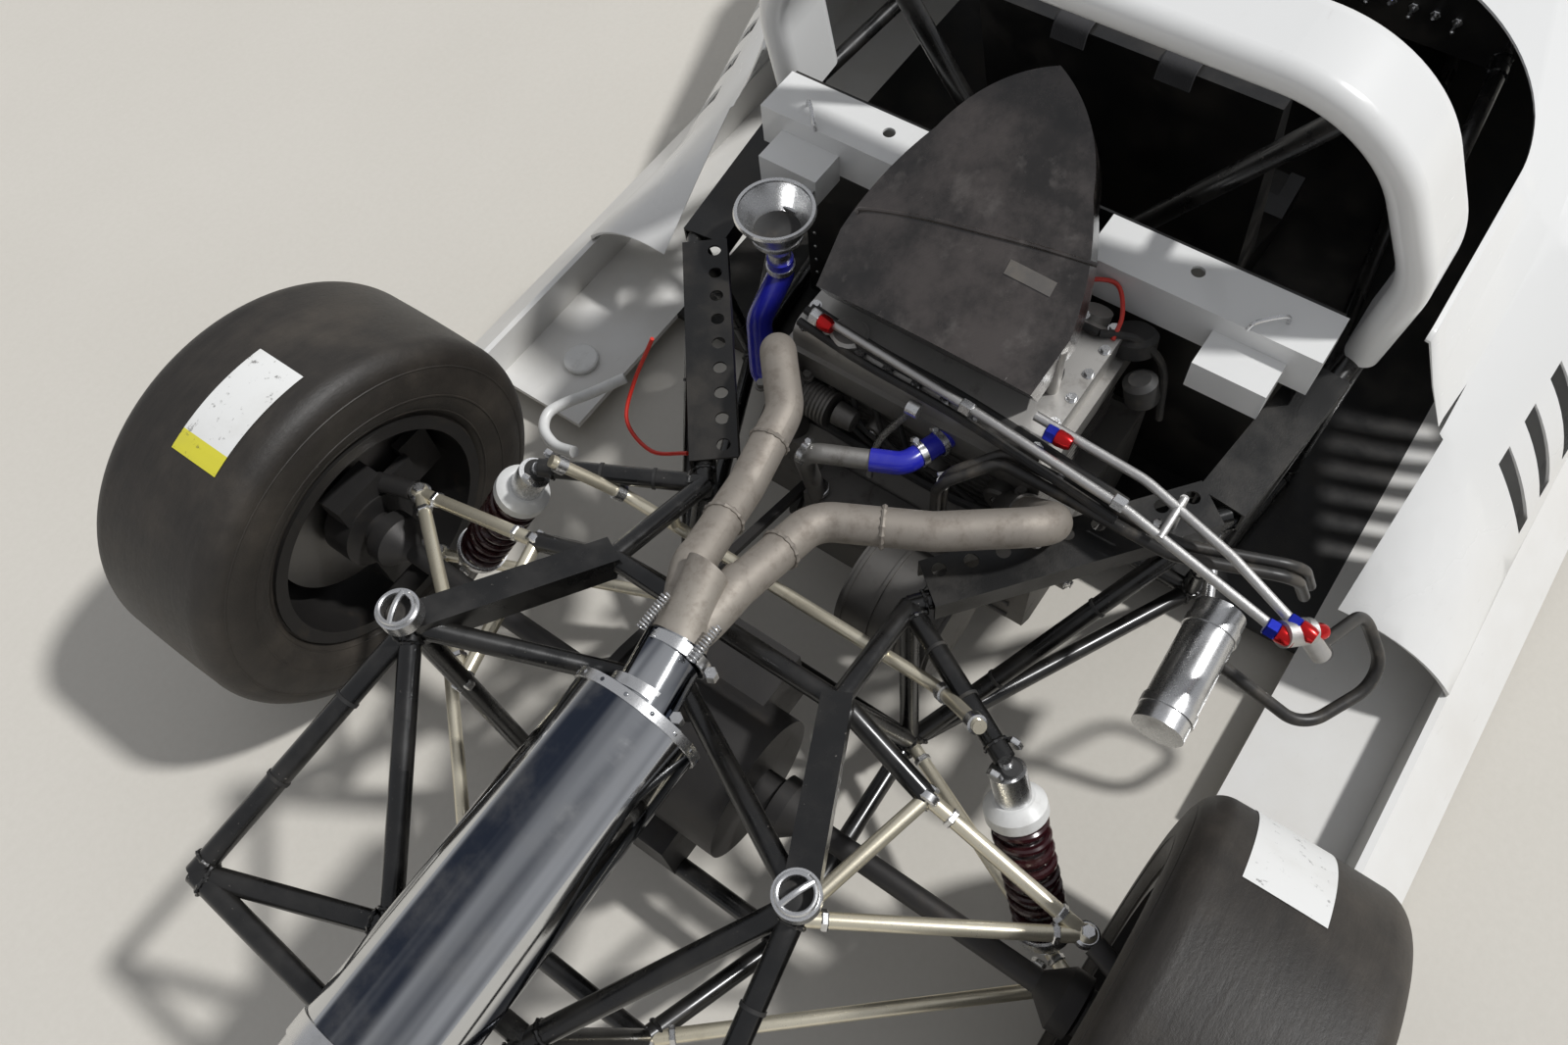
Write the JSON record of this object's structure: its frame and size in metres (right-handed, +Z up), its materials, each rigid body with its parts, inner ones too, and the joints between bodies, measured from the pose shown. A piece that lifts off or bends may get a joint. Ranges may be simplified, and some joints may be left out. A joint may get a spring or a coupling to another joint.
{
  "type": "open sports racing car with its rear deck off",
  "caption": "Low open sports racing car, rear deck off: white panels, black tube frame, roll hoop, mid engine, polished silencer, slick tyres; wheels roll and steer.",
  "frame": {"origin": "on the ground under the middle of the car", "axes": "+X forwards, +Y to the driver's left, +Z up"},
  "size_m": [3.68, 1.65, 0.8377],
  "materials": {
    "white_panel": "gloss",
    "black_panel": "satin",
    "black_tube": "gloss",
    "bright_metal": "satin",
    "dark_cover": "satin",
    "engine_alloy": "cast",
    "dark_casting": "satin",
    "exhaust_steel": "dull",
    "polished_steel": "polished",
    "nickel_tube": "satin",
    "spring_paint": "gloss",
    "braided_line": "satin",
    "black_grip": "matte",
    "tyre_rubber": "matte",
    "rim_paint": "satin",
    "hose_rubber": "satin",
    "blue_hose": "gloss",
    "disc_iron": "machined"
  },
  "bodies": {
    "chassis": {"anti_roll_bar": "nickel_tube", "blue_hoses": "blue_hose", "canister": "polished_steel", "centre_body": "white_panel", "collector": "exhaust_steel", "cross_line": "braided_line", "dash": "black_panel", "deck_cups": "bright_metal", "engine": "engine_alloy", "engine_cover": "dark_cover", "engine_frame": "black_tube", "exhaust_left": "exhaust_steel", "exhaust_right": "exhaust_steel", "filler_neck": "bright_metal", "final_drive": "dark_casting", "firewall": "black_panel", "floor_pan": "black_panel", "front_arms": "nickel_tube", "front_dampers": "bright_metal", "front_frame": "black_tube", "hoop_brace": "black_tube", "hoop_stays": "white_panel", "nose_clip": "white_panel", "pedals": "bright_metal", "rack_housing": "engine_alloy", "rear_dampers": "bright_metal", "rear_frame": "black_tube", "rear_lower_arms": "nickel_tube", "rear_springs": "spring_paint", "rear_upper_arms": "nickel_tube", "rear_uprights": "engine_alloy", "roll_hoop": "white_panel", "seat": "black_panel", "shelves": "white_panel", "side_floors": "white_panel", "side_plates": "black_panel", "silencer": "polished_steel", "sills": "white_panel", "splitter": "black_panel", "water_hoses": "hose_rubber"},
    "wheel_rear_left": {"tyre_rear_left": "tyre_rubber", "rim_rear_left": "rim_paint", "disc_rear_left": "disc_iron", "driveshaft_left": "dark_casting"},
    "wheel_rear_right": {"tyre_rear_right": "tyre_rubber", "rim_rear_right": "rim_paint", "disc_rear_right": "disc_iron", "driveshaft_right": "dark_casting"},
    "wheel_front_left": {"tyre_front_left": "tyre_rubber", "rim_front_left": "rim_paint", "disc_front_left": "disc_iron"},
    "wheel_front_right": {"tyre_front_right": "tyre_rubber", "rim_front_right": "rim_paint", "disc_front_right": "disc_iron"},
    "knuckle_left": {"knuckle_left": "engine_alloy"},
    "knuckle_right": {"knuckle_right": "engine_alloy"},
    "steering_rack": {"steering_rack": "bright_metal"},
    "steering_wheel": {"steering_wheel": "black_grip"}
  },
  "joints": [
    {"name": "wheel_spin_rear_left", "type": "hinge", "parent": "chassis", "child": "wheel_rear_left", "pos_m": [-1.24, 0.641, 0.285], "axis": [0, 1, 0], "continuous": true},
    {"name": "wheel_spin_rear_right", "type": "hinge", "parent": "chassis", "child": "wheel_rear_right", "pos_m": [-1.24, -0.641, 0.285], "axis": [0, 1, 0], "continuous": true},
    {"name": "steer_left", "type": "hinge", "parent": "chassis", "child": "knuckle_left", "pos_m": [1.06, 0.608, 0.265], "axis": [0, 0, 1], "range_deg": [-18, 18]},
    {"name": "steer_right", "type": "hinge", "parent": "chassis", "child": "knuckle_right", "pos_m": [1.06, -0.608, 0.265], "axis": [0, 0, 1], "range_deg": [-18, 18]},
    {"name": "wheel_spin_front_left", "type": "hinge", "parent": "knuckle_left", "child": "wheel_front_left", "pos_m": [1.06, 0.68, 0.265], "axis": [0, 1, 0], "continuous": true},
    {"name": "wheel_spin_front_right", "type": "hinge", "parent": "knuckle_right", "child": "wheel_front_right", "pos_m": [1.06, -0.68, 0.265], "axis": [0, 1, 0], "continuous": true},
    {"name": "rack_slide", "type": "slide", "parent": "chassis", "child": "steering_rack", "axis": [0, 1, 0], "range_m": [-0.042, 0.042]},
    {"name": "column_turn", "type": "hinge", "parent": "chassis", "child": "steering_wheel", "pos_m": [0.105, 0, 0.5], "axis": [-0.9579, 0, 0.2873], "range_deg": [-127, 127]}
  ],
  "couplings": [
    {"joint": "steer_right", "follows": "steer_left", "ratio": 1},
    {"joint": "rack_slide", "follows": "steer_left", "m_per_rad": 0.13},
    {"joint": "column_turn", "follows": "steer_left", "ratio": 7}
  ]
}
